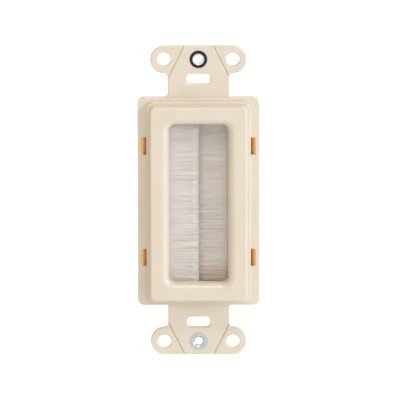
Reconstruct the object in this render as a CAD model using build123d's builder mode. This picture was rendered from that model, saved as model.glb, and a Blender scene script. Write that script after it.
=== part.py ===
from build123d import *
import math
import os

# A brush pass-through insert for a one-gang wall plate, in millimetres.
# X runs to the right, Z up, and the front of the insert faces -Y.
# The origin is the centre of the plate screws, on the back of the mounting strap.
# A height is a distance from the back of the strap towards the front.

# Mounting strap
plate_screw_spacing = 96.84
box_screw_spacing = 83.34
strap_end_margin = 4.43
strap_thickness = 2.6
strap_edge_chamfer = 0.25
neck_width = 20.7
neck_root_radius = 1.1
ear_radius = 4.6
ear_root_radius = 1.2
ear_hole_offset = 1.25
ear_hole_radius = 2.3
box_slot_length = 7.8
box_slot_height = 3.55
upper_slot_corner = 0.8
lower_slot_corner = 1.3
hole_edge_chamfer = 0.25
slot_edge_radius = 0.4
score_end_spacing = 10.0
score_drop = 1.65
score_width = 0.95
score_depth = 0.5

# Window through the bezel, with a rolled edge
window_width = 19.7
window_height = 54.0
window_corner = 2.0
window_draft = 3.0
window_depth = 4.8
window_roll_radius = 2.5
lip_wall = 2.2
core_rib_count = 5
core_rib_wall = 1.0

# Raised bezel round the window
bezel_side_border = 6.65
bezel_end_border = 6.25
bezel_rise = 4.3
bezel_corner = 2.1
bezel_draft = 2.0
bezel_edge_radius = 0.7
bezel_wall = 2.2

# Low step round the bezel
step_margin = 1.1
step_rise = 1.4
step_corner = 2.8
step_edge_radius = 0.4

# Flange round the step
flange_side_margin = 2.95
flange_end_margin = 1.15
flange_rise = 1.7
flange_wall = 2.0
flange_corner = 2.2
flange_edge_radius = 0.3
skirt_wall = 1.3

# Latches that hold the rear retainer
latch_spacing = 38.2
latch_width = 6.0
lug_length = 8.0
catch_reach = 0.9
catch_land = 0.4
catch_lead = 1.4

# Strip brushes
channel_end_margin = 2.6
channel_width = 4.5
channel_thickness = 4.0
channel_wall = 0.5
channel_corner = 0.45
channel_setback = 1.3
wire_radius = 0.6
bristle_thickness = 2.0
bristle_end_margin = 0.4
bristle_sink = 0.8
bristle_seam = 0.2
tuft_count = 41
tuft_width_share = 0.72
tuft_crest_share = 0.36
tuft_tip_play = 0.3

# Rear retainer
retainer_thickness = 2.0
retainer_corner = 1.6
retainer_edge_chamfer = 0.4
retainer_window_margin = 0.8
retainer_rib_height = 1.0
retainer_rib_wall = 1.4
tongue_length = 18.0
tongue_height = 2.6
tongue_wall = 1.0

# Threaded inserts for the plate screws
insert_thread_radius = 1.42
insert_mouth_radius = 1.95
insert_mouth_angle = 90.0
insert_body_radius = 2.6
insert_rim_radius = 2.82
insert_rim_thickness = 0.9
insert_proud = 0.12
insert_tooth_count = 24
insert_tooth_size = 0.3

# Clearances and overlaps
press_clearance = 0.02
slip_clearance = 0.05
channel_clearance = 0.1
retainer_clearance = 0.3
cut_margin = 1.0
tuft_overlap = 0.2
edge_tolerance = 0.01

# Heights, widths and places that follow from the sizes above
flange_face = strap_thickness + flange_rise
step_face = flange_face + step_rise
bezel_face = step_face + bezel_rise
bezel_width = window_width + 2 * bezel_side_border
bezel_height = window_height + 2 * bezel_end_border
step_width = bezel_width + 2 * step_margin
step_height = bezel_height + 2 * step_margin
flange_width = step_width + 2 * flange_side_margin
flange_height = step_height + 2 * flange_end_margin
strap_length = plate_screw_spacing + 2 * strap_end_margin
ear_rise = strap_length / 2 - ear_radius
ear_hole_spacing = neck_width + 2 * ear_hole_offset
score_neck_rise = ear_rise - ear_radius - score_drop
skirt_inner_width = flange_width - 2 * skirt_wall
channel_seat = bezel_face - window_depth
retainer_seat = channel_seat - channel_thickness
retainer_back = retainer_seat - retainer_thickness
retainer_width = skirt_inner_width - 2 * retainer_clearance
retainer_height = step_height - 2 * retainer_clearance
retainer_recess_height = retainer_height + 2 * retainer_clearance
lug_reach = skirt_inner_width / 2 - slip_clearance
channel_length = window_height + 2 * channel_end_margin
channel_mouth = window_width / 2 + channel_setback
channel_back = channel_mouth + channel_width
pocket_width = 2 * (channel_back + channel_clearance)
pocket_height = bezel_height - 2 * bezel_wall
brush_height = channel_seat - channel_thickness / 2
fold_radius = channel_thickness / 2 - channel_wall - slip_clearance
wire_place = channel_back - channel_wall - slip_clearance - fold_radius


def front_plane(height):
    """A plane that looks out of the plate's front, at a height above the strap's back."""
    return Plane.XZ.offset(height)


def write_piece(piece, label):
    """Name one finished piece and write it as a file of its own."""
    piece.label = label
    export_step(piece, f"parts/{label}.step")


def serrated_rim(clearance):
    """Draw an insert's toothed rim, or the seat moulded round it when there is a clearance."""
    Circle(insert_rim_radius + clearance)
    with PolarLocations(insert_rim_radius, insert_tooth_count):
        RegularPolygon(insert_tooth_size + clearance * math.sqrt(2), 4)


def at_places(places, x, z):
    """The corners among some vertices that stand x from the centre line and z from the middle."""
    return [
        corner
        for corner in places
        if abs(abs(corner.X) - x) < edge_tolerance and abs(abs(corner.Y) - z) < edge_tolerance
    ]


def bounds_ear_hole(edge):
    """Whether an edge of the strap's front bounds an ear hole."""
    middle = edge.center()
    across = abs(middle.X) - ear_hole_spacing / 2
    along = abs(middle.Z) - plate_screw_spacing / 2
    return math.hypot(across, along) < ear_hole_radius + edge_tolerance


def bounds_slot(edge):
    """Whether an edge of the strap's front bounds a slot."""
    middle = edge.center()
    beside = abs(abs(middle.Z) - box_screw_spacing / 2) < box_slot_height / 2 + edge_tolerance
    within = abs(middle.X) < box_slot_length / 2 + edge_tolerance
    return beside and within


os.makedirs("parts", exist_ok=True)

# Front frame: strap, flange, step and bezel moulded as one piece
with BuildPart() as front_frame:
    # Strap with its four break-off ears
    with BuildSketch(Plane.XZ) as strap_outline:
        Rectangle(neck_width, strap_length)
        with Locations((0, ear_rise), (0, -ear_rise)):
            SlotOverall(ear_hole_spacing + 2 * ear_radius, 2 * ear_radius)
        Rectangle(flange_width - 2 * flange_corner, flange_height)
        ear_roots = at_places(strap_outline.vertices(), neck_width / 2, ear_rise - ear_radius)
        fillet(ear_roots, ear_root_radius)
        neck_roots = at_places(strap_outline.vertices(), neck_width / 2, flange_height / 2)
        fillet(neck_roots, neck_root_radius)
    extrude(amount=strap_thickness)
    chamfer(front_frame.faces().sort_by(Axis.Y)[0].edges(), strap_edge_chamfer)

    # Flange, step and bezel, each with a rounded front edge
    with BuildSketch(Plane.XZ):
        RectangleRounded(flange_width, flange_height, flange_corner)
    extrude(amount=flange_face)
    fillet(front_frame.faces().sort_by(Axis.Y)[0].edges(), flange_edge_radius)
    with BuildSketch(front_plane(flange_face)):
        RectangleRounded(step_width, step_height, step_corner)
    extrude(amount=step_rise)
    fillet(front_frame.faces().sort_by(Axis.Y)[0].edges(), step_edge_radius)
    with BuildSketch(front_plane(step_face)):
        RectangleRounded(bezel_width, bezel_height, bezel_corner)
    extrude(amount=bezel_rise, taper=bezel_draft)
    fillet(front_frame.faces().sort_by(Axis.Y)[0].edges(), bezel_edge_radius)

    # Window with drafted walls, rolled out onto the face of the bezel
    with BuildSketch(front_plane(channel_seat)):
        RectangleRounded(window_width, window_height, window_corner)
    extrude(amount=window_depth, taper=-window_draft, mode=Mode.SUBTRACT)
    window_mouth = front_frame.faces().sort_by(Axis.Y)[0].inner_wires()[0]
    fillet(window_mouth.edges(), window_roll_radius)

    # Recess for the retainer, pocket for the brushes and the cored wall round the window
    with BuildSketch(front_plane(-cut_margin)):
        Rectangle(skirt_inner_width, retainer_recess_height)
    extrude(amount=cut_margin + retainer_seat, mode=Mode.SUBTRACT)
    with BuildSketch(front_plane(retainer_seat)):
        Rectangle(pocket_width, pocket_height)
    extrude(amount=channel_thickness, mode=Mode.SUBTRACT)
    core_width = pocket_width - 2 * core_rib_wall
    core_height = pocket_height - 2 * core_rib_wall
    with BuildSketch(front_plane(channel_seat)):
        Rectangle(core_width, core_height)
        Rectangle(window_width + 2 * lip_wall, window_height + 2 * lip_wall, mode=Mode.SUBTRACT)
    extrude(amount=window_depth - bezel_wall, mode=Mode.SUBTRACT)

    # Ribs that carry the brushes across the cored wall
    core_gap = (core_width - window_width) / 2 - lip_wall
    core_middle = window_width + 2 * lip_wall + core_gap
    with BuildSketch(front_plane(channel_seat)):
        with GridLocations(core_middle, window_height / core_rib_count, 2, core_rib_count):
            Rectangle(core_gap, core_rib_wall)
    extrude(amount=window_depth - bezel_wall)

    # Ribs that the ends of the brushes stand against
    stop_length = (pocket_height - channel_length) / 2 - channel_clearance
    with BuildSketch(front_plane(retainer_seat)):
        with GridLocations(2 * wire_place, pocket_height - stop_length, 2, 2):
            Rectangle(channel_width / 2, stop_length)
    extrude(amount=channel_thickness)

    # Gaps between the skirt and the pocket, with the latch slots through the flange
    side_gap = (skirt_inner_width - step_width) / 2
    with BuildSketch(front_plane(0)):
        with GridLocations(step_width + side_gap, 1, 2, 1):
            Rectangle(side_gap, retainer_recess_height)
    extrude(amount=flange_face - flange_wall, mode=Mode.SUBTRACT)
    with BuildSketch(front_plane(0)):
        with GridLocations(step_width + side_gap, latch_spacing, 2, 2):
            Rectangle(side_gap, latch_width)
    extrude(amount=flange_face + cut_margin, mode=Mode.SUBTRACT)

    # Latch arms behind the slots, with catches that reach in over the retainer
    catch_top = retainer_back - slip_clearance
    nose = lug_reach - catch_reach
    arm_end = catch_top - catch_land - catch_lead
    for side in (-1, 1):
        for latch_z in (-latch_spacing / 2, latch_spacing / 2):
            with BuildSketch(Plane.XY.offset(latch_z)):
                Polygon(
                    (side * flange_width / 2, 0),
                    (side * flange_width / 2, -arm_end),
                    (side * skirt_inner_width / 2, -arm_end),
                    (side * nose, -(catch_top - catch_land)),
                    (side * nose, -catch_top),
                    (side * skirt_inner_width / 2, -catch_top),
                    (side * skirt_inner_width / 2, 0),
                    align=None,
                )
            extrude(amount=latch_width / 2, both=True)

    # Holes in the ears, slots for the box screws and seats for the threaded inserts
    with Locations(front_plane(strap_thickness)):
        with GridLocations(ear_hole_spacing, plate_screw_spacing, 2, 2):
            Hole(ear_hole_radius)
        with GridLocations(1, plate_screw_spacing, 1, 2):
            Hole(insert_body_radius + press_clearance)
    for end in (-1, 1):
        with BuildSketch(front_plane(strap_thickness + insert_proud - insert_rim_thickness)):
            with Locations((0, end * plate_screw_spacing / 2)):
                serrated_rim(press_clearance)
        extrude(amount=insert_rim_thickness, mode=Mode.SUBTRACT)
    slot_corners = {1: upper_slot_corner, -1: lower_slot_corner}
    for end, slot_corner in slot_corners.items():
        with BuildSketch(front_plane(-cut_margin)):
            with Locations((0, end * box_screw_spacing / 2)):
                RectangleRounded(box_slot_length, box_slot_height, slot_corner)
        extrude(amount=strap_thickness + 2 * cut_margin, mode=Mode.SUBTRACT)

    # Eased front edges of the ear holes and the slots
    strap_edges = front_frame.edges().filter_by_position(
        Axis.Y, -strap_thickness - edge_tolerance, -strap_thickness + edge_tolerance
    )
    chamfer([edge for edge in strap_edges if bounds_ear_hole(edge)], hole_edge_chamfer)
    fillet([edge for edge in strap_edges if bounds_slot(edge)], slot_edge_radius)

    # Scored grooves across the roots of the ears
    score_run = Vector(neck_width / 2 - score_end_spacing / 2, 0, score_neck_rise - strap_length / 2)
    for side in (-1, 1):
        for end in (-1, 1):
            run = Vector(side * score_run.X, 0, end * score_run.Z).normalized()
            start = Vector(side * score_end_spacing / 2, -strap_thickness, end * strap_length / 2)
            across = Vector(run.Z, 0, -run.X)
            with BuildSketch(Plane(start - run * cut_margin, x_dir=across, z_dir=run)):
                Polygon((-score_width, -score_depth), (score_width, -score_depth), (0, score_depth), align=None)
            extrude(amount=score_run.length + 2 * cut_margin, mode=Mode.SUBTRACT)

write_piece(front_frame.part, "front_frame")

# Rear retainer: a window frame that snaps in behind the brushes
retainer_window_width = window_width + 2 * retainer_window_margin
retainer_window_height = window_height + 2 * retainer_window_margin
with BuildPart() as rear_retainer:
    with BuildSketch(front_plane(retainer_back)):
        RectangleRounded(retainer_width, retainer_height, retainer_corner)
        with GridLocations(1, latch_spacing, 1, 2):
            Rectangle(2 * lug_reach, lug_length)
    extrude(amount=retainer_thickness)
    chamfer(rear_retainer.faces().sort_by(Axis.Y)[-1].edges(), retainer_edge_chamfer)

    # Raised rib round the window on the back
    rib_width = retainer_window_width + 2 * retainer_rib_wall
    rib_height = retainer_window_height + 2 * retainer_rib_wall
    with BuildSketch(front_plane(retainer_back - retainer_rib_height)):
        RectangleRounded(rib_width, rib_height, window_corner + retainer_rib_wall)
    extrude(amount=retainer_rib_height)
    chamfer(rear_retainer.faces().sort_by(Axis.Y)[-1].edges(), retainer_edge_chamfer)

    # Tongues that stand inside the ends of the pocket
    tongue_place = pocket_height / 2 - channel_clearance - tongue_wall / 2
    with BuildSketch(front_plane(retainer_seat)):
        with GridLocations(1, 2 * tongue_place, 1, 2):
            Rectangle(tongue_length, tongue_wall)
    extrude(amount=tongue_height)

    # Window, with a sloped edge at the back that guides the cables in
    with BuildSketch(front_plane(retainer_back - retainer_rib_height)):
        RectangleRounded(retainer_window_width, retainer_window_height, window_corner)
    extrude(amount=retainer_thickness + retainer_rib_height, mode=Mode.SUBTRACT)
    guide_edge = rear_retainer.faces().sort_by(Axis.Y)[-1].inner_wires()[0].edges()
    chamfer(guide_edge, retainer_rib_wall / 2)

write_piece(rear_retainer.part, "rear_retainer")


def at_depth(side, x, height):
    """A point of a brush's cross-section, x from the seam towards the brush's own side."""
    return (side * x, -height)


# Strip brushes: a folded metal channel, the core wire in it and the bristles round the wire
for side_name, side in (("left", -1), ("right", 1)):
    channel_bottom = Plane.XY.offset(-channel_length / 2)
    channel_middle = (channel_mouth + channel_back) / 2
    with BuildPart() as brush_channel:
        with BuildSketch(channel_bottom):
            with Locations(at_depth(side, channel_middle, brush_height)):
                RectangleRounded(channel_width, channel_thickness, channel_corner)
                RectangleRounded(
                    channel_width - 2 * channel_wall,
                    channel_thickness - 2 * channel_wall,
                    channel_corner,
                    mode=Mode.SUBTRACT,
                )
            with Locations(at_depth(side, channel_mouth, brush_height)):
                Rectangle(3 * channel_wall, bristle_thickness + 2 * slip_clearance, mode=Mode.SUBTRACT)
        extrude(amount=channel_length)
    write_piece(brush_channel.part, f"{side_name}_brush_channel")

    with BuildPart() as core_wire:
        with BuildSketch(channel_bottom):
            with Locations(at_depth(side, wire_place, brush_height)):
                Circle(wire_radius)
        extrude(amount=channel_length)
    write_piece(core_wire.part, f"{side_name}_core_wire")

    bristle_length = channel_length - 2 * bristle_end_margin
    tuft_pitch = bristle_length / tuft_count
    tuft_half_width = tuft_pitch * tuft_width_share
    tuft_half_crest = tuft_pitch * tuft_crest_share
    tuft_half_depth = bristle_thickness / 2 - slip_clearance
    with BuildPart() as bristles:
        # Folded root, closed round the core wire
        with BuildSketch(Plane.XY.offset(-bristle_length / 2)):
            with Locations(at_depth(side, wire_place, brush_height)):
                Circle(fold_radius)
            with Locations(at_depth(side, (wire_place + channel_mouth) / 2, brush_height)):
                Rectangle(wire_place - channel_mouth, bristle_thickness)
            with Locations(at_depth(side, wire_place, brush_height)):
                Circle(wire_radius + press_clearance, mode=Mode.SUBTRACT)
        extrude(amount=bristle_length)

        # Tufts that reach to the seam, each a little longer or shorter than the next
        for tuft in range(tuft_count):
            tuft_z = (tuft + 0.5) * tuft_pitch - bristle_length / 2
            play = tuft_tip_play * (0.5 + 0.5 * math.sin(tuft * tuft + side))
            reach = channel_mouth + tuft_overlap - bristle_seam / 2 - play
            run = Vector(-side * channel_mouth, bristle_sink, 0)
            root = Vector(side * (channel_mouth + tuft_overlap), -brush_height, tuft_z)
            with BuildSketch(Plane(root, x_dir=(0, 0, 1), z_dir=(-side, 0, 0))):
                Polygon(
                    (-tuft_half_width, 0),
                    (-tuft_half_crest, -tuft_half_depth),
                    (tuft_half_crest, -tuft_half_depth),
                    (tuft_half_width, 0),
                    (tuft_half_crest, tuft_half_depth),
                    (-tuft_half_crest, tuft_half_depth),
                    align=None,
                )
            extrude(amount=reach, dir=run)
    write_piece(bristles.part, f"{side_name}_bristles")

# Threaded inserts: a serrated rim let into the strap, on a plain body with a tapered mouth
for end_name, end in (("upper", 1), ("lower", -1)):
    insert_z = end * plate_screw_spacing / 2
    insert_front = strap_thickness + insert_proud
    with BuildPart() as threaded_insert:
        with BuildSketch(front_plane(0)):
            with Locations((0, insert_z)):
                Circle(insert_body_radius)
        extrude(amount=strap_thickness)
        with BuildSketch(front_plane(insert_front - insert_rim_thickness)):
            with Locations((0, insert_z)):
                serrated_rim(0)
        extrude(amount=insert_rim_thickness)
        with Locations(front_plane(insert_front)):
            with Locations((0, insert_z)):
                CounterSinkHole(
                    radius=insert_thread_radius,
                    counter_sink_radius=insert_mouth_radius,
                    counter_sink_angle=insert_mouth_angle,
                )
    write_piece(threaded_insert.part, f"{end_name}_threaded_insert")
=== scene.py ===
import math
import random

import bpy
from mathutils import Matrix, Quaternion, Vector, noise


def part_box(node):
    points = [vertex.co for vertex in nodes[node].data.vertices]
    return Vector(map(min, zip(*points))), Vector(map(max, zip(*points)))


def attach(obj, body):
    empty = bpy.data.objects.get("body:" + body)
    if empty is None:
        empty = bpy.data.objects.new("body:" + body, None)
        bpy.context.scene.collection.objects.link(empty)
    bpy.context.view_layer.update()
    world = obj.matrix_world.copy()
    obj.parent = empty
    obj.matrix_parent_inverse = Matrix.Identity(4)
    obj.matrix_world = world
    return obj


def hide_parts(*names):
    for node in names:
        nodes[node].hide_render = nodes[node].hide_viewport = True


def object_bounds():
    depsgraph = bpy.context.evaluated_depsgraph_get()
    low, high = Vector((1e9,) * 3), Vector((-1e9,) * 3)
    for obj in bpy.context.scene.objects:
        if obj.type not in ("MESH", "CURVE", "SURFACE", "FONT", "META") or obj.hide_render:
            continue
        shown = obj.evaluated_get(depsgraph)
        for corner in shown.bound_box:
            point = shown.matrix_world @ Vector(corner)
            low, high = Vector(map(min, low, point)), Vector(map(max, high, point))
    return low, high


# Brush wall plate: materials, bristle fibres, screw threads, room, lamps and camera.
# Lengths are in metres, and the front of the plate faces -Y.
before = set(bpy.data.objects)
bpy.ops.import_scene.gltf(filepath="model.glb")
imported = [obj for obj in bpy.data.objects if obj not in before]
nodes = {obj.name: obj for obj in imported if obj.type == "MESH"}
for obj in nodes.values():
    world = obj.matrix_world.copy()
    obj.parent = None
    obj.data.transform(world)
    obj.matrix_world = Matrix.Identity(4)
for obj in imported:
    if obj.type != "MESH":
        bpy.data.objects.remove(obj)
cad_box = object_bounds()

MM = 0.001
WHITE = (1.0, 1.0, 1.0)

# Camera, as the photograph was taken
PHOTO_SIDE = 400
PHOTO_MM_PER_PIXEL = 0.3375
CAMERA_DISTANCE = 2.16
CAMERA_PITCH = math.radians(10.5)
CAMERA_ROLL = math.radians(-0.08)
CAMERA_AIM = Vector((0.46, -2.6, 0.34)) * MM
SENSOR_WIDTH_MM = 36.0
CLIP_RANGE = 100

# Floor
FLOOR_DROP = 0.2
FLOOR_SIDE = 12.0
FLOOR_COLOUR = (0.86, 0.86, 0.86)
FLOOR_GLOW = 0.5

# Light of the room: four corners in front of the plate, the side behind it, and what is seen
SKY_LOWER_LEFT = (0.44, 0.385, 0.32)
SKY_LOWER_RIGHT = (0.45, 0.445, 0.435)
SKY_UPPER_LEFT = (0.53, 0.46, 0.375)
SKY_UPPER_RIGHT = (0.57, 0.56, 0.54)
BACKDROP = (0.93, 0.93, 0.92)
SEEN_SKY = WHITE

# How far a direction points to +Y where the light from behind begins and where it is full
BACKDROP_START = -0.1
BACKDROP_FULL = 0.3

# Lamps: the way to each from the plate, its side, its colour, and about how bright it alone
# makes a white surface that faces the front
LAMP_DISTANCE = 1.6
LAMPS = {
    "key": {"towards": (1.8, -1.0, 0.45), "side": 0.2, "colour": (0.87, 1.0, 1.2), "level": 0.155},
    "fill": {"towards": (-1.0, -1.0, 0.8), "side": 0.25, "colour": (1.0, 0.95, 0.88), "level": 0.025},
    "side": {"towards": (1.1, -1.0, 0.3), "side": 1.4, "colour": (0.94, 1.0, 1.08), "level": 0.1},
    "top": {"towards": (0.1, -0.7, 1.2), "side": 0.25, "colour": (1.0, 1.02, 1.05), "level": 0.11},
}

# Colours, each level from 0 to 255 as on a screen
IVORY_DARK = (225, 211, 190)
IVORY_LIGHT = (228, 214, 194)
# Painted light through the plastic of the latch slots: deep orange inward, pale orange outward
PAINTED_SLOT_LIGHT_INNER = (200, 105, 6)
PAINTED_SLOT_LIGHT_OUTER = (245, 205, 105)
ALUMINIUM_DARK = (196, 198, 200)
ALUMINIUM_LIGHT = (222, 223, 224)
STEEL_DARK = (158, 158, 160)
STEEL_LIGHT = (196, 197, 200)
NYLON_DARK = (241, 234, 227)
NYLON_LIGHT = (249, 243, 238)
NYLON_BAND = (243, 232, 220)
# Painted warm shade for the lower end of the bristles
NYLON_PAINTED_SHADE = (234, 214, 198)
BLACKENED_RIM = (48, 40, 46)
BLACKENED_MOUTH = (225, 225, 228)
ZINC_RIM = (168, 173, 176)
ZINC_MOUTH = (204, 208, 210)

# Limits between which most values of a noise lie, for fine grain and for soft clouds
GRAIN_LIMITS = (0.3, 0.7)
CLOUD_LIMITS = (0.35, 0.65)

# Latch slots through the flange, whose walls carry painted light through the plastic: a deep orange
# colour, lighter outward, and a faint painted glow
SLOT_INNER_X = 17.6 * MM
SLOT_OUTER_X = 19.25 * MM
SLOT_CENTRE_Z = 19.1 * MM
SLOT_HALF_LENGTH = 3.0 * MM
FLANGE_FACE = 4.3 * MM
SLOT_BOTTOM = 1.0 * MM
# Painted glow of the slot walls, inward and outward
PAINTED_SLOT_GLOW_INNER = (0.0, 0.01, 0.0)
PAINTED_SLOT_GLOW_OUTER = (0.3, 0.2, 0.05)

# Where the painted light of the slots, and their spread of light under the surface, fades: past a slot's
# sides, below the flange's face, and behind the slot's bottom
SLOT_LIGHT_SIDE_NEAR = 0.02 * MM
SLOT_LIGHT_SIDE_FAR = 0.12 * MM
SLOT_LIGHT_TOP_NEAR = 0.1 * MM
SLOT_LIGHT_TOP_FAR = 1.2 * MM
SLOT_LIGHT_BOTTOM_FADE = 0.4 * MM

# Bristle fibres, folded round the core wire, in layers from the faces of the brush inwards
FIBRE_LAYERS = 5
FIBRES_IN_LAYER = 425
LAYER_STEP = 0.18
LAYER_PLAY = 0.04
ROW_PLAY = 0.25
FIBRE_RADIUS = 0.07 * MM
FIBRE_SIDES = 3
FREE_STEPS = 5
ARC_STEPS = 3
BRUSH_HALF_DEPTH = 1.0 * MM
BRUSH_SINK = 0.42 * MM
SINK_POWER = 1.15
FOLD_INNER_SHARE = 0.1
FOLD_LAYER_SHARE = 0.85
SEAM_GAP = 0.02 * MM
TIP_PLAY = 0.3 * MM
TIP_POWER = 2
CLUMP_DRIFT = 0.18 * MM
CLUMP_LENGTH = 1.6 * MM
CLUMP_SHIFT = 7.3
FIBRE_DRIFT = 0.1 * MM
STRAY_SHARE = 0.08
STRAY_DRIFT = 0.5 * MM
DRIFT_POWER = 1.6

# Painted shade, warmer and darker, at the lower end of the bristles, on their front, and weaker on the
# left brush
LOW_SHADE_START_Z = -18 * MM
LOW_SHADE_FULL_Z = -27.2 * MM
LOW_SHADE_ON_LEFT = 0.3
LOW_SHADE_HALF_WIDTH = 2 * MM
LOW_SHADE_BACK_Y = -3.0 * MM
LOW_SHADE_BACK_FADE = 0.6 * MM

# The most that the bands across the bristles take of their colour
BAND_SHARE = 0.5

# Threaded inserts
INSERT_MOUTH_RADIUS = 1.95 * MM
MOUTH_EDGE = 0.06 * MM
RIM_GAIN = 1.25
RIM_ROUGHNESS_PLAY = 0.08
TURNING_PITCH = 0.09 * MM

# Screw thread in the inserts, with half the widths of its root and crest as shares of the pitch
THREAD_PITCH = 0.794 * MM
THREAD_RADIUS = 1.42 * MM
THREAD_HEIGHT = 0.09 * MM
THREAD_ROOT_SINK = 0.02 * MM
THREAD_ROOT_HALF = 0.3
THREAD_CREST_HALF = 0.06
THREAD_FACETS = 36
THREAD_TAPER_TURNS = 0.25
THREAD_END_MARGIN = 0.15 * MM

# Sockets of a mix node that hold colours
MIX_FIRST = 6
MIX_SECOND = 7
MIX_RESULT = 2


def linear(colour):
    """A colour as it is seen on a screen, 0 to 255, in the units of a shader, by the sRGB curve."""
    return tuple(
        (level / 255 / 12.92) if level < 11 else ((level / 255 + 0.055) / 1.055) ** 2.4
        for level in colour
    )


def middle(node_name):
    """The middle of a node's box."""
    low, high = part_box(node_name)
    return (Vector(low) + Vector(high)) / 2


def mixed(tree, share, first, second):
    """A colour between two others, each a triple or a socket."""
    node = tree.nodes.new("ShaderNodeMix")
    node.data_type = "RGBA"
    tree.links.new(share, node.inputs["Factor"])
    for socket, colour in ((node.inputs[MIX_FIRST], first), (node.inputs[MIX_SECOND], second)):
        if isinstance(colour, tuple):
            socket.default_value = (*colour, 1.0)
        else:
            tree.links.new(colour, socket)
    return node.outputs[MIX_RESULT]


class Surface:
    """One procedural material, with short names for the nodes that it is made of."""

    def __init__(self, name, roughness, metallic=0.0, specular=0.5):
        self.material = bpy.data.materials.new(name)
        self.material.use_nodes = True
        self.tree = self.material.node_tree
        self.shader = self.tree.nodes["Principled BSDF"]
        self.shader.inputs["Roughness"].default_value = roughness
        self.shader.inputs["Metallic"].default_value = metallic
        self.shader.inputs["Specular IOR Level"].default_value = specular
        self.place = self.tree.nodes.new("ShaderNodeTexCoord").outputs["Object"]

    def link(self, source, target):
        """Feed one socket from another."""
        self.tree.links.new(source, target)

    def stretched(self, stretch):
        """The object's own coordinates in units of a stretch, which has one length for each axis."""
        mapping = self.tree.nodes.new("ShaderNodeMapping")
        mapping.inputs["Scale"].default_value = [1 / length for length in stretch]
        self.link(self.place, mapping.inputs["Vector"])
        return mapping.outputs["Vector"]

    def noise(self, stretch, detail=3.0, roughness=0.5):
        """A noise from 0 to 1, whose grains are about as long as the stretch along each axis."""
        texture = self.tree.nodes.new("ShaderNodeTexNoise")
        texture.inputs["Scale"].default_value = 1.0
        texture.inputs["Detail"].default_value = detail
        texture.inputs["Roughness"].default_value = roughness
        self.link(self.stretched(stretch), texture.inputs["Vector"])
        return texture.outputs["Fac"]

    def spread(self, value, low, high, to_low, to_high):
        """A value between low and high, moved to the range from to_low to to_high."""
        node = self.tree.nodes.new("ShaderNodeMapRange")
        node.interpolation_type = "SMOOTHSTEP"
        limits = {"From Min": low, "From Max": high, "To Min": to_low, "To Max": to_high}
        for name, number in limits.items():
            node.inputs[name].default_value = number
        self.link(value, node.inputs["Value"])
        return node.outputs["Result"]

    def math(self, operation, *values):
        """The result of one operation on values, each a number or a socket."""
        node = self.tree.nodes.new("ShaderNodeMath")
        node.operation = operation
        for socket, value in zip(node.inputs, values):
            if isinstance(value, (int, float)):
                socket.default_value = value
            else:
                self.link(value, socket)
        return node.outputs["Value"]

    def product(self, *values):
        """All the values multiplied together, from the first on."""
        total = values[0]
        for value in values[1:]:
            total = self.math("MULTIPLY", total, value)
        return total

    def mix(self, share, first, second):
        """A colour between two others."""
        return mixed(self.tree, share, first, second)

    def varied(self, texture, limits, first, second):
        """A colour that a noise moves between two others."""
        return self.mix(self.spread(texture, *limits, 0.0, 1.0), first, second)

    def axes(self):
        """The coordinates of a point of the surface along X, Y and Z."""
        node = self.tree.nodes.new("ShaderNodeSeparateXYZ")
        self.link(self.place, node.inputs["Vector"])
        return node.outputs["X"], node.outputs["Y"], node.outputs["Z"]

    def colour(self, source):
        """Take the colour from a socket."""
        self.link(source, self.shader.inputs["Base Color"])

    def roughness(self, source):
        """Take the roughness from a socket."""
        self.link(source, self.shader.inputs["Roughness"])

    def bump(self, height, depth):
        """Relief from a height of 0 to 1, depth metres deep."""
        node = self.tree.nodes.new("ShaderNodeBump")
        node.inputs["Strength"].default_value = 1.0
        node.inputs["Distance"].default_value = depth
        self.link(height, node.inputs["Height"])
        self.link(node.outputs["Normal"], self.shader.inputs["Normal"])

    def glow(self, colour, strength):
        """Light of the surface's own, with its colour and strength from sockets."""
        self.link(colour, self.shader.inputs["Emission Color"])
        self.link(strength, self.shader.inputs["Emission Strength"])

    def subsurface(self, weight, reach, radius):
        """Light that spreads under the surface, with its weight from a socket."""
        self.shader.inputs["Subsurface Scale"].default_value = reach
        self.shader.inputs["Subsurface Radius"].default_value = radius
        self.link(weight, self.shader.inputs["Subsurface Weight"])


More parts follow.
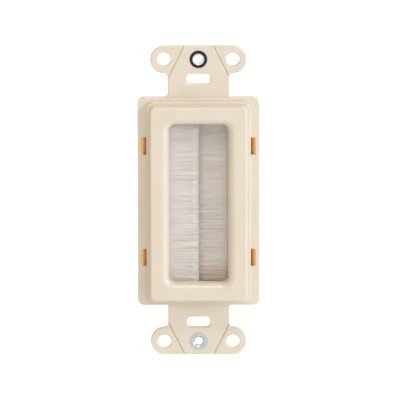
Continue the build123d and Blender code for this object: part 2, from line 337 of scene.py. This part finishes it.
def moulded_plastic():
    """Ivory plastic with a fine satin grain; in the latch slots, painted light through the plastic: deep
    orange, lighter outward, with a faint painted glow.
    """
    surface = Surface("moulded_plastic", roughness=0.3, specular=0.7)
    cloud = surface.noise(stretch=(9 * MM, 9 * MM, 14 * MM), detail=2.0)
    body = surface.varied(cloud, CLOUD_LIMITS, linear(IVORY_DARK), linear(IVORY_LIGHT))

    # The walls of the slots: across the plate, along a slot, and below the face of the flange
    x, y, z = surface.axes()
    across = surface.math("ABSOLUTE", x)
    rise = surface.math("ABSOLUTE", z)
    along = surface.math("ABSOLUTE", surface.math("SUBTRACT", rise, SLOT_CENTRE_Z))
    within = surface.product(
        surface.spread(across, SLOT_INNER_X - SLOT_LIGHT_SIDE_FAR, SLOT_INNER_X - SLOT_LIGHT_SIDE_NEAR, 0.0, 1.0),
        surface.spread(across, SLOT_OUTER_X + SLOT_LIGHT_SIDE_NEAR, SLOT_OUTER_X + SLOT_LIGHT_SIDE_FAR, 1.0, 0.0),
        surface.spread(
            along, SLOT_HALF_LENGTH + SLOT_LIGHT_SIDE_NEAR, SLOT_HALF_LENGTH + SLOT_LIGHT_SIDE_FAR, 1.0, 0.0
        ),
    )
    below = surface.product(
        surface.spread(y, -FLANGE_FACE + SLOT_LIGHT_TOP_NEAR, -FLANGE_FACE + SLOT_LIGHT_TOP_FAR, 0.0, 1.0),
        surface.spread(y, -SLOT_BOTTOM, -SLOT_BOTTOM + SLOT_LIGHT_BOTTOM_FADE, 1.0, 0.0),
    )
    slot_light_mask = surface.product(within, below)
    outward = surface.spread(across, SLOT_INNER_X, SLOT_OUTER_X, 0.0, 1.0)
    # Painted light in the slots: an orange colour that grows lighter outward, and a faint painted glow
    painted_slot_light = surface.mix(outward, linear(PAINTED_SLOT_LIGHT_INNER), linear(PAINTED_SLOT_LIGHT_OUTER))
    surface.colour(surface.mix(slot_light_mask, body, painted_slot_light))
    surface.glow(surface.mix(outward, PAINTED_SLOT_GLOW_INNER, PAINTED_SLOT_GLOW_OUTER), slot_light_mask)
    surface.subsurface(slot_light_mask, reach=4 * MM, radius=(1.0, 0.7, 0.3))

    grain = surface.noise(stretch=(0.35 * MM, 0.35 * MM, 0.35 * MM), detail=4.0, roughness=0.6)
    surface.roughness(surface.spread(grain, *GRAIN_LIMITS, to_low=0.27, to_high=0.36))
    surface.bump(grain, depth=0.002 * MM)
    return surface.material


def channel_metal():
    """Folded aluminium with fine rolling lines along its length."""
    surface = Surface("channel_metal", roughness=0.35, metallic=1.0)
    lines = surface.noise(stretch=(0.12 * MM, 0.12 * MM, 9 * MM))
    surface.colour(surface.varied(lines, GRAIN_LIMITS, linear(ALUMINIUM_DARK), linear(ALUMINIUM_LIGHT)))
    surface.roughness(surface.spread(lines, *GRAIN_LIMITS, to_low=0.28, to_high=0.42))
    surface.bump(lines, depth=0.006 * MM)
    return surface.material


def wire_steel():
    """Drawn steel wire with fine lines along its length."""
    surface = Surface("wire_steel", roughness=0.3, metallic=1.0)
    lines = surface.noise(stretch=(0.08 * MM, 0.08 * MM, 4 * MM))
    surface.colour(surface.varied(lines, GRAIN_LIMITS, linear(STEEL_DARK), linear(STEEL_LIGHT)))
    surface.roughness(surface.spread(lines, *GRAIN_LIMITS, to_low=0.22, to_high=0.38))
    surface.bump(lines, depth=0.004 * MM)
    return surface.material


def bristle_nylon():
    """Milky nylon fibre, a little uneven from fibre to fibre, with warmer painted shade at the lower end.
    """
    surface = Surface("bristle_nylon", roughness=0.45, specular=0.35)
    streak = surface.noise(stretch=(7 * MM, 0.3 * MM, 0.16 * MM), detail=2.0, roughness=0.6)
    band = surface.noise(stretch=(12 * MM, 6 * MM, 2.2 * MM), detail=2.0)
    fine = surface.varied(streak, GRAIN_LIMITS, linear(NYLON_DARK), linear(NYLON_LIGHT))
    body = surface.mix(surface.spread(band, *CLOUD_LIMITS, 0.0, BAND_SHARE), fine, linear(NYLON_BAND))
    x, y, z = surface.axes()
    # Painted shade on the front of the lower end of the bristles, weaker on the left brush
    painted_low_shade = surface.product(
        surface.spread(z, LOW_SHADE_FULL_Z, LOW_SHADE_START_Z, 1.0, 0.0),
        surface.spread(x, -LOW_SHADE_HALF_WIDTH, LOW_SHADE_HALF_WIDTH, LOW_SHADE_ON_LEFT, 1.0),
        surface.spread(y, LOW_SHADE_BACK_Y - LOW_SHADE_BACK_FADE, LOW_SHADE_BACK_Y, 1.0, 0.0),
    )
    surface.colour(surface.mix(painted_low_shade, body, linear(NYLON_PAINTED_SHADE)))
    surface.roughness(surface.spread(streak, *GRAIN_LIMITS, to_low=0.4, to_high=0.55))
    return surface.material


def insert_metal(name, end_name, rim_colour, rim_roughness, mouth_colour):
    """A plated insert whose rim may differ from its machined mouth, with turning marks round its axis."""
    surface = Surface(name, roughness=0.35, metallic=1.0)
    x, _, z = surface.axes()
    rise = surface.math("SUBTRACT", z, middle(f"{end_name}_threaded_insert").z)
    square = surface.math("ADD", surface.product(x, x), surface.product(rise, rise))
    radius = surface.math("SQRT", square)
    blotch = surface.noise(stretch=(0.5 * MM, 0.5 * MM, 0.5 * MM), detail=4.0, roughness=0.6)
    rim_light = tuple(level * RIM_GAIN for level in rim_colour)
    rim = surface.varied(blotch, CLOUD_LIMITS, rim_colour, rim_light)
    mouth_start = INSERT_MOUTH_RADIUS - MOUTH_EDGE
    mouth_end = INSERT_MOUTH_RADIUS + MOUTH_EDGE
    mouth = surface.spread(radius, mouth_start, mouth_end, 1.0, 0.0)
    surface.colour(surface.mix(mouth, rim, mouth_colour))
    smooth = rim_roughness - RIM_ROUGHNESS_PLAY
    rough = rim_roughness + RIM_ROUGHNESS_PLAY
    surface.roughness(surface.spread(blotch, *GRAIN_LIMITS, smooth, rough))
    turning = surface.math("FRACT", surface.math("DIVIDE", radius, TURNING_PITCH))
    surface.bump(turning, depth=0.006 * MM)
    return surface.material


def dress(node_name, material):
    """Give a carried-over node its material."""
    node = nodes[node_name]
    node.data.materials.clear()
    node.data.materials.append(material)


def hairpin(side, wire, wire_radius, mouth, fold_radius, z, layer, draw):
    """The middle line of one fibre: in from the seam, round the core wire and back to the seam."""
    drift = CLUMP_DRIFT * noise.noise(Vector((z / CLUMP_LENGTH, side * CLUMP_SHIFT, 0.0)))
    legs = []
    for face in (1, -1):
        share = 1.0 - LAYER_STEP * layer - LAYER_PLAY * draw.random()
        tip = SEAM_GAP + TIP_PLAY * draw.random() ** TIP_POWER
        loose = STRAY_DRIFT if draw.random() < STRAY_SHARE else FIBRE_DRIFT
        lean = drift + loose * draw.uniform(-1.0, 1.0)
        leg = []
        for step in range(FREE_STEPS + 1):
            along = step / FREE_STEPS
            free = 1.0 - along
            x = tip + (mouth - tip) * along
            depth = face * BRUSH_HALF_DEPTH * share - BRUSH_SINK * free ** SINK_POWER
            leg.append((x, depth, z + lean * free ** DRIFT_POWER))
        fold_share = FOLD_INNER_SHARE + FOLD_LAYER_SHARE * share
        radius = wire_radius + (fold_radius - wire_radius) * fold_share
        leg.append((wire.x * side, face * radius, z))
        legs.append((leg, radius))
    (front, front_radius), (back, back_radius) = legs
    arc = []
    for step in range(1, ARC_STEPS):
        turn = math.pi * step / ARC_STEPS
        radius = front_radius + (back_radius - front_radius) * step / ARC_STEPS
        arc.append((wire.x * side + radius * math.sin(turn), radius * math.cos(turn), z))
    line = front + arc + back[::-1]
    return [Vector((side * x, wire.y - depth, height)) for x, depth, height in line]


def add_tube(line, radius, sides, vertices, faces):
    """Add one thin closed tube along a line, with its first corner never turned to the front."""
    first = len(vertices)
    for index, point in enumerate(line):
        before = line[max(index - 1, 0)]
        after = line[min(index + 1, len(line) - 1)]
        run = (after - before).normalized()
        across = run.cross(Vector((0.0, 0.0, 1.0))).normalized()
        if across.y < 0:
            across = -across
        over = run.cross(across)
        for corner in range(sides):
            turn = 2 * math.pi * corner / sides
            sideways = across * (radius * math.cos(turn))
            vertices.append(point + sideways + over * (radius * math.sin(turn)))
    for index in range(len(line) - 1):
        ring = first + index * sides
        following = ring + sides
        for corner in range(sides):
            beside = (corner + 1) % sides
            faces.append((ring + corner, ring + beside, following + beside, following + corner))
    last = first + (len(line) - 1) * sides
    faces.append(tuple(first + corner for corner in reversed(range(sides))))
    faces.append(tuple(last + corner for corner in range(sides)))


def new_piece(name, vertices, faces, material):
    """A mesh piece that rides with the plate."""
    mesh = bpy.data.meshes.new(name)
    mesh.from_pydata([tuple(corner) for corner in vertices], [], faces)
    mesh.validate()
    mesh.shade_smooth()
    mesh.materials.append(material)
    piece = bpy.data.objects.new(name, mesh)
    bpy.context.scene.collection.objects.link(piece)
    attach(piece, "root")
    return piece


def brush(side_name, side, material):
    """All the fibres of one strip brush, in place of its solid."""
    wire = middle(f"{side_name}_core_wire")
    wire_low, wire_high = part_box(f"{side_name}_core_wire")
    channel_low, channel_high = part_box(f"{side_name}_brush_channel")
    pack_low, pack_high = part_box(f"{side_name}_bristles")
    wire_radius = (wire_high[0] - wire_low[0]) / 2 + FIBRE_RADIUS
    mouth = min(abs(channel_low[0]), abs(channel_high[0]))
    fold_radius = max(abs(pack_low[0]), abs(pack_high[0])) - abs(wire.x) - FIBRE_RADIUS
    bottom = pack_low[2] + FIBRE_RADIUS + CLUMP_DRIFT + STRAY_DRIFT
    top = pack_high[2] - FIBRE_RADIUS - CLUMP_DRIFT - STRAY_DRIFT
    draw = random.Random(f"{side_name} brush")
    vertices, faces = [], []
    for index in range(FIBRES_IN_LAYER * FIBRE_LAYERS):
        row, layer = divmod(index, FIBRE_LAYERS)
        place = (row + layer / FIBRE_LAYERS + ROW_PLAY * draw.random()) / FIBRES_IN_LAYER
        z = bottom + (top - bottom) * place
        line = hairpin(side, wire, wire_radius, mouth, fold_radius, z, layer, draw)
        add_tube(line, FIBRE_RADIUS, FIBRE_SIDES, vertices, faces)
    piece = new_piece(f"{side_name}_fibres", vertices, faces, material)
    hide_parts(f"{side_name}_bristles")


def thread_section(taper):
    """The corners of the thread's section: a radius, and a place along the axis in pitches."""
    root = THREAD_RADIUS + THREAD_ROOT_SINK
    crest = THREAD_RADIUS - THREAD_HEIGHT * taper
    return (
        (root, -THREAD_ROOT_HALF),
        (crest, -THREAD_CREST_HALF),
        (crest, THREAD_CREST_HALF),
        (root, THREAD_ROOT_HALF),
    )


def screw_thread(end_name, material):
    """The crest of the thread: one ridge that winds through the bore of an insert."""
    low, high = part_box(f"{end_name}_threaded_insert")
    centre = middle(f"{end_name}_threaded_insert")
    start = high[1] - THREAD_END_MARGIN
    run = (high[1] - low[1]) - 2 * THREAD_END_MARGIN - THREAD_PITCH
    count = int(run / THREAD_PITCH * THREAD_FACETS)
    taper_steps = THREAD_FACETS * THREAD_TAPER_TURNS
    vertices, faces = [], []
    for step in range(count + 1):
        turn = 2 * math.pi * step / THREAD_FACETS
        taper = min(1.0, step / taper_steps, (count - step) / taper_steps)
        y = start - THREAD_PITCH * step / THREAD_FACETS
        for radius, shift in thread_section(taper):
            x = centre.x + radius * math.cos(turn)
            z = centre.z + radius * math.sin(turn)
            vertices.append(Vector((x, y - THREAD_PITCH * (0.5 + shift), z)))
    corners = len(thread_section(1.0))
    for step in range(count):
        ring = corners * step
        following = ring + corners
        for corner in range(corners):
            beside = (corner + 1) % corners
            faces.append((ring + corner, following + corner, following + beside, ring + beside))
    last = corners * count
    faces.append(tuple(range(corners)))
    faces.append(tuple(last + corner for corner in reversed(range(corners))))
    piece = new_piece(f"{end_name}_screw_thread", vertices, faces, material)


def seen_white(tree):
    """Whether a ray comes from the camera, a reflection or a view through something clear."""
    path = tree.nodes.new("ShaderNodeLightPath")
    total = path.outputs["Is Camera Ray"]
    for name in ("Is Glossy Ray", "Is Transmission Ray"):
        larger = tree.nodes.new("ShaderNodeMath")
        larger.operation = "MAXIMUM"
        tree.links.new(total, larger.inputs[0])
        tree.links.new(path.outputs[name], larger.inputs[1])
        total = larger.outputs["Value"]
    return total


def room():
    """The light of the room: warmer on the left, brighter above and behind, white where it is seen."""
    world = bpy.data.worlds.new("studio")
    bpy.context.scene.world = world
    world.use_nodes = True
    tree = world.node_tree
    background = tree.nodes["Background"]
    split = tree.nodes.new("ShaderNodeSeparateXYZ")
    direction = tree.nodes.new("ShaderNodeTexCoord").outputs["Generated"]
    tree.links.new(direction, split.inputs["Vector"])
    shares = []
    for axis in ("X", "Z"):
        share = tree.nodes.new("ShaderNodeMapRange")
        share.inputs["From Min"].default_value = -1.0
        tree.links.new(split.outputs[axis], share.inputs["Value"])
        shares.append(share.outputs["Result"])
    across, up = shares
    behind = tree.nodes.new("ShaderNodeMapRange")
    behind.interpolation_type = "SMOOTHSTEP"
    behind.inputs["From Min"].default_value = BACKDROP_START
    behind.inputs["From Max"].default_value = BACKDROP_FULL
    tree.links.new(split.outputs["Y"], behind.inputs["Value"])
    lower = mixed(tree, across, SKY_LOWER_LEFT, SKY_LOWER_RIGHT)
    upper = mixed(tree, across, SKY_UPPER_LEFT, SKY_UPPER_RIGHT)
    lit = mixed(tree, behind.outputs["Result"], mixed(tree, up, lower, upper), BACKDROP)
    shown = mixed(tree, seen_white(tree), lit, SEEN_SKY)
    tree.links.new(shown, background.inputs["Color"])


def floor():
    """A pale floor below the plate, a little brighter where it is seen."""
    bottom = cad_box[0].z - FLOOR_DROP
    half = FLOOR_SIDE / 2
    corners = [(x * half, y * half, bottom) for x, y in ((-1, -1), (1, -1), (1, 1), (-1, 1))]
    mesh = bpy.data.meshes.new("floor")
    mesh.from_pydata(corners, [], [(0, 1, 2, 3)])
    piece = bpy.data.objects.new("floor", mesh)
    bpy.context.scene.collection.objects.link(piece)
    surface = Surface("floor", roughness=0.9, specular=0.0)
    surface.shader.inputs["Base Color"].default_value = (*FLOOR_COLOUR, 1.0)
    surface.shader.inputs["Emission Color"].default_value = (*WHITE, 1.0)
    glow = surface.product(seen_white(surface.tree), FLOOR_GLOW)
    surface.link(glow, surface.shader.inputs["Emission Strength"])
    mesh.materials.append(surface.material)


def area_lamp(name, towards, side, colour, level):
    """A square lamp that looks at the plate."""
    direction = Vector(towards).normalized()
    data = bpy.data.lights.new(name, "AREA")
    data.shape = "SQUARE"
    data.size = side
    data.color = colour
    data.energy = level * (math.pi * LAMP_DISTANCE) ** 2 / -direction.y
    lamp = bpy.data.objects.new(name, data)
    lamp.location = direction * LAMP_DISTANCE
    lamp.rotation_mode = "QUATERNION"
    lamp.rotation_quaternion = (-direction).to_track_quat("-Z", "Y")
    bpy.context.scene.collection.objects.link(lamp)


def camera():
    """The photograph's view: straight from the front and a little above, from afar."""
    data = bpy.data.cameras.new("camera")
    data.sensor_width = SENSOR_WIDTH_MM
    data.lens = SENSOR_WIDTH_MM * CAMERA_DISTANCE / (PHOTO_SIDE * PHOTO_MM_PER_PIXEL * MM)
    data.clip_start = CAMERA_DISTANCE / CLIP_RANGE
    data.clip_end = CAMERA_DISTANCE * CLIP_RANGE
    viewer = bpy.data.objects.new("camera", data)
    back = Vector((0.0, -math.cos(CAMERA_PITCH), math.sin(CAMERA_PITCH)))
    viewer.location = CAMERA_AIM + back * CAMERA_DISTANCE
    viewer.rotation_mode = "QUATERNION"
    viewer.rotation_quaternion = (-back).to_track_quat("-Z", "Y") @ Quaternion((0, 0, 1), CAMERA_ROLL)
    bpy.context.scene.collection.objects.link(viewer)
    bpy.context.scene.camera = viewer


camera()
room()
floor()
for lamp_name, lamp in LAMPS.items():
    area_lamp(lamp_name, **lamp)
bpy.context.scene.view_settings.view_transform = "Standard"

plastic = moulded_plastic()
aluminium = channel_metal()
steel = wire_steel()
nylon = bristle_nylon()
blackened = insert_metal("insert_black", "upper", linear(BLACKENED_RIM), 0.45, linear(BLACKENED_MOUTH))
zinc = insert_metal("insert_zinc", "lower", linear(ZINC_RIM), 0.38, linear(ZINC_MOUTH))

dress("front_frame", plastic)
dress("rear_retainer", plastic)
for side_name, side in (("left", -1), ("right", 1)):
    dress(f"{side_name}_brush_channel", aluminium)
    dress(f"{side_name}_core_wire", steel)
    brush(side_name, side, nylon)
for end_name, metal, slot in (("upper", blackened, "insert_black"), ("lower", zinc, "insert_zinc")):
    dress(f"{end_name}_threaded_insert", metal)
    screw_thread(end_name, metal)
